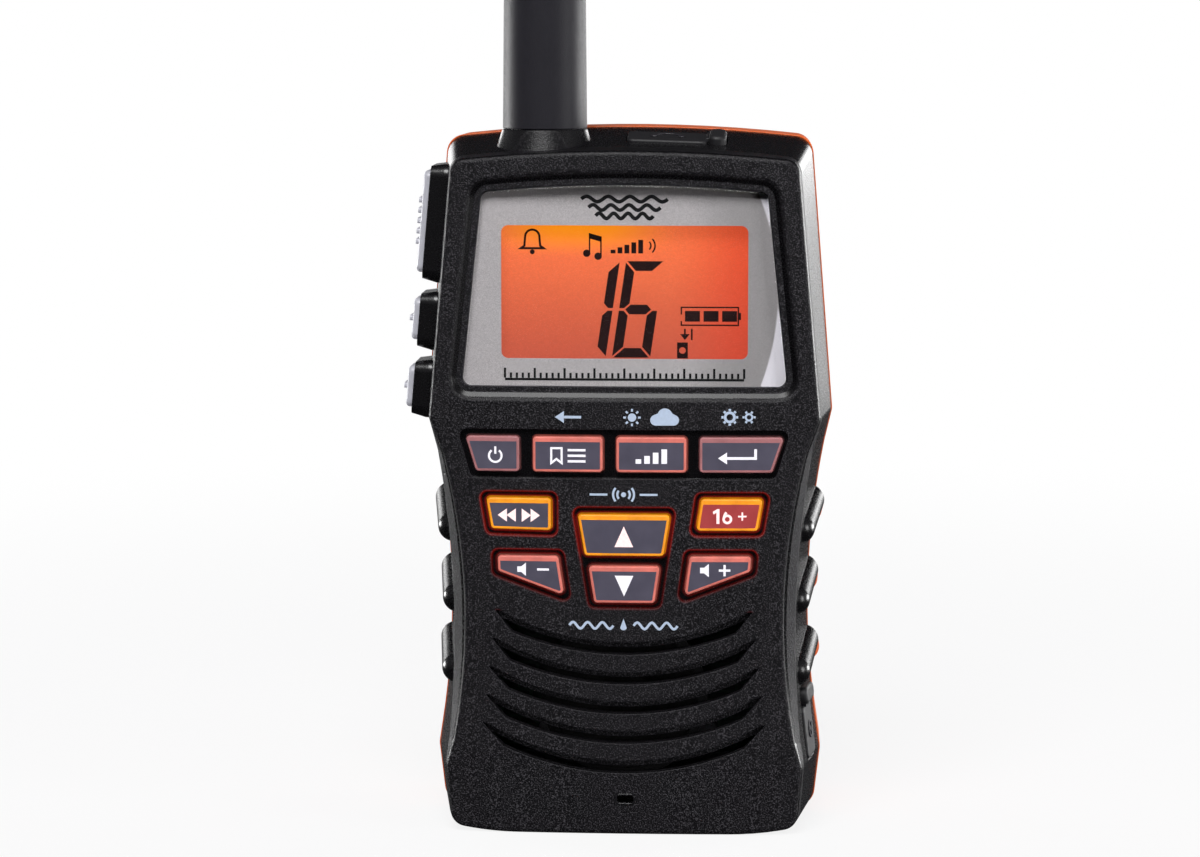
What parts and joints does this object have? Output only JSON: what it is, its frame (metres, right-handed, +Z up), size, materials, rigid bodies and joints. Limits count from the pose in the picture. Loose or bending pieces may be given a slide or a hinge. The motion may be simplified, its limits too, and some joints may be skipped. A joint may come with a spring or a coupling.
{
  "type": "handheld marine radio",
  "caption": "Handheld floating marine radio with backlit display and keys, curved speaker slots, side buttons, screw-on antenna, sealed jack covers, battery door and belt clip.",
  "frame": {"origin": "centre of the flat foot, on the plane where the two shells meet", "axes": "+Z up along the antenna, -Y out of the face, +X to the right seen from the front"},
  "size_m": [0.0726, 0.0532, 0.255],
  "materials": {
    "black_plastic": "fine moulded grain",
    "orange_plastic": "satin",
    "black_rubber": "satin",
    "key_rubber": "satin, backlit",
    "seal_rubber": "plain",
    "clear_plastic": "polished",
    "silver_print": "metallic print under gloss",
    "display": "backlit",
    "light_guide": "frosted",
    "grey_plastic": "plain",
    "circuit_board": "solder mask",
    "steel": "plain",
    "brass": "plated",
    "cell": "printed sleeve"
  },
  "bodies": {
    "radio": {"front_housing": "black_plastic", "rear_housing": "orange_plastic", "housing_seal": "seal_rubber", "housing_screws": "steel", "window_lens": "clear_plastic", "window_mask": "silver_print", "lens_gasket": "seal_rubber", "lcd_panel": "display", "lcd_backlight": "light_guide", "lcd_frame": "grey_plastic", "keypad_mat": "key_rubber", "key_board": "circuit_board", "key_domes": "steel", "speaker_frame": "steel", "speaker_cone": "grey_plastic", "mic_boot": "seal_rubber", "microphone": "cell", "side_board": "circuit_board", "side_switches": "grey_plastic", "antenna_jack": "brass", "main_board": "circuit_board", "shield_cans": "steel", "chassis": "cell", "board_screws": "steel", "battery_tray": "grey_plastic", "battery_cells": "cell", "battery_contacts": "steel", "door_seal": "seal_rubber", "clip_base": "black_plastic", "clip_pin": "steel", "clip_spring": "steel", "accessory_anchor": "black_rubber", "charge_anchor": "black_rubber", "accessory_jack": "brass", "charge_jack": "brass"},
    "key_power": {"key_power": "key_rubber"},
    "key_memory": {"key_memory": "key_rubber"},
    "key_output": {"key_output": "key_rubber"},
    "key_enter": {"key_enter": "key_rubber"},
    "key_scan": {"key_scan": "key_rubber"},
    "key_priority": {"key_priority": "key_rubber"},
    "key_up": {"key_up": "key_rubber"},
    "key_down": {"key_down": "key_rubber"},
    "key_volume_down": {"key_volume_down": "key_rubber"},
    "key_volume_up": {"key_volume_up": "key_rubber"},
    "ptt_button": {"ptt_button": "black_rubber"},
    "upper_side_button": {"upper_side_button": "black_rubber"},
    "lower_side_button": {"lower_side_button": "black_rubber"},
    "accessory_flap": {"accessory_flap": "black_rubber"},
    "charge_flap": {"charge_flap": "black_rubber"},
    "clip_arm": {"clip_arm": "black_plastic"},
    "battery_door": {"battery_door": "black_plastic"},
    "left_door_screw": {"left_door_screw": "steel"},
    "right_door_screw": {"right_door_screw": "steel"},
    "antenna_ring": {"antenna_seal": "seal_rubber"},
    "antenna": {"antenna_sleeve": "black_rubber", "antenna_ferrule": "brass", "antenna_core": "grey_plastic", "antenna_coil": "brass"}
  },
  "joints": [
    {"name": "key_power_press", "type": "slide", "parent": "radio", "child": "key_power", "axis": [0, 1, 0], "range_m": [0, 0.0008], "stiffness_N_per_m": 500},
    {"name": "key_memory_press", "type": "slide", "parent": "radio", "child": "key_memory", "axis": [0, 1, 0], "range_m": [0, 0.0008], "stiffness_N_per_m": 500},
    {"name": "key_output_press", "type": "slide", "parent": "radio", "child": "key_output", "axis": [0, 1, 0], "range_m": [0, 0.0008], "stiffness_N_per_m": 500},
    {"name": "key_enter_press", "type": "slide", "parent": "radio", "child": "key_enter", "axis": [0, 1, 0], "range_m": [0, 0.0008], "stiffness_N_per_m": 500},
    {"name": "key_scan_press", "type": "slide", "parent": "radio", "child": "key_scan", "axis": [0, 1, 0], "range_m": [0, 0.0008], "stiffness_N_per_m": 500},
    {"name": "key_priority_press", "type": "slide", "parent": "radio", "child": "key_priority", "axis": [0, 1, 0], "range_m": [0, 0.0008], "stiffness_N_per_m": 500},
    {"name": "key_up_press", "type": "slide", "parent": "radio", "child": "key_up", "axis": [0, 1, 0], "range_m": [0, 0.0008], "stiffness_N_per_m": 500},
    {"name": "key_down_press", "type": "slide", "parent": "radio", "child": "key_down", "axis": [0, 1, 0], "range_m": [0, 0.0008], "stiffness_N_per_m": 500},
    {"name": "key_volume_down_press", "type": "slide", "parent": "radio", "child": "key_volume_down", "axis": [0, 1, 0], "range_m": [0, 0.0008], "stiffness_N_per_m": 500},
    {"name": "key_volume_up_press", "type": "slide", "parent": "radio", "child": "key_volume_up", "axis": [0, 1, 0], "range_m": [0, 0.0008], "stiffness_N_per_m": 500},
    {"name": "ptt_button_press", "type": "slide", "parent": "radio", "child": "ptt_button", "axis": [0.9962, 0, -0.0869], "range_m": [0, 0.001], "stiffness_N_per_m": 1500},
    {"name": "upper_side_button_press", "type": "slide", "parent": "radio", "child": "upper_side_button", "axis": [0.9962, 0, -0.0869], "range_m": [0, 0.001], "stiffness_N_per_m": 1500},
    {"name": "lower_side_button_press", "type": "slide", "parent": "radio", "child": "lower_side_button", "axis": [0.9962, 0, -0.0869], "range_m": [0, 0.001], "stiffness_N_per_m": 1500},
    {"name": "accessory_flap_hinge", "type": "hinge", "parent": "radio", "child": "accessory_flap", "pos_m": [0.01368, -0.00936, 0.1172], "axis": [0.005, 0.9873, 0.1588], "range_deg": [0, 90], "stiffness_Nm_per_rad": 0.004},
    {"name": "charge_flap_hinge", "type": "hinge", "parent": "radio", "child": "charge_flap", "pos_m": [0.03081, -0.00886, 0.02085], "axis": [-0.143, -0.9896, -0.0169], "range_deg": [0, 90], "stiffness_Nm_per_rad": 0.004},
    {"name": "clip_arm_hinge", "type": "hinge", "parent": "radio", "child": "clip_arm", "pos_m": [0, 0.0274, 0.101], "axis": [1, 0, 0], "range_deg": [0, 20], "stiffness_Nm_per_rad": 0.35, "springref_deg": -17.19},
    {"name": "battery_door_slide", "type": "slide", "parent": "radio", "child": "battery_door", "axis": [0, 1, 0], "range_m": [0, 0.03]},
    {"name": "right_door_screw_turn", "type": "hinge", "parent": "battery_door", "child": "right_door_screw", "pos_m": [0.017, 0.021, 0.0689], "axis": [0, 1, 0], "range_deg": [0, 90]},
    {"name": "left_door_screw_turn", "type": "hinge", "parent": "battery_door", "child": "left_door_screw", "pos_m": [-0.017, 0.021, 0.0689], "axis": [0, 1, 0], "range_deg": [0, 90]},
    {"name": "antenna_rise", "type": "slide", "parent": "radio", "child": "antenna_ring", "axis": [0, 0, 1], "range_m": [0, 0.0035]},
    {"name": "antenna_unscrew", "type": "hinge", "parent": "antenna_ring", "child": "antenna", "pos_m": [-0.0138, -0.01, 0.1186], "axis": [0, 0, 1], "range_deg": [0, 1800.01]}
  ],
  "couplings": [
    {"joint": "antenna_unscrew", "follows": "antenna_rise", "rad_per_m": 8976}
  ]
}
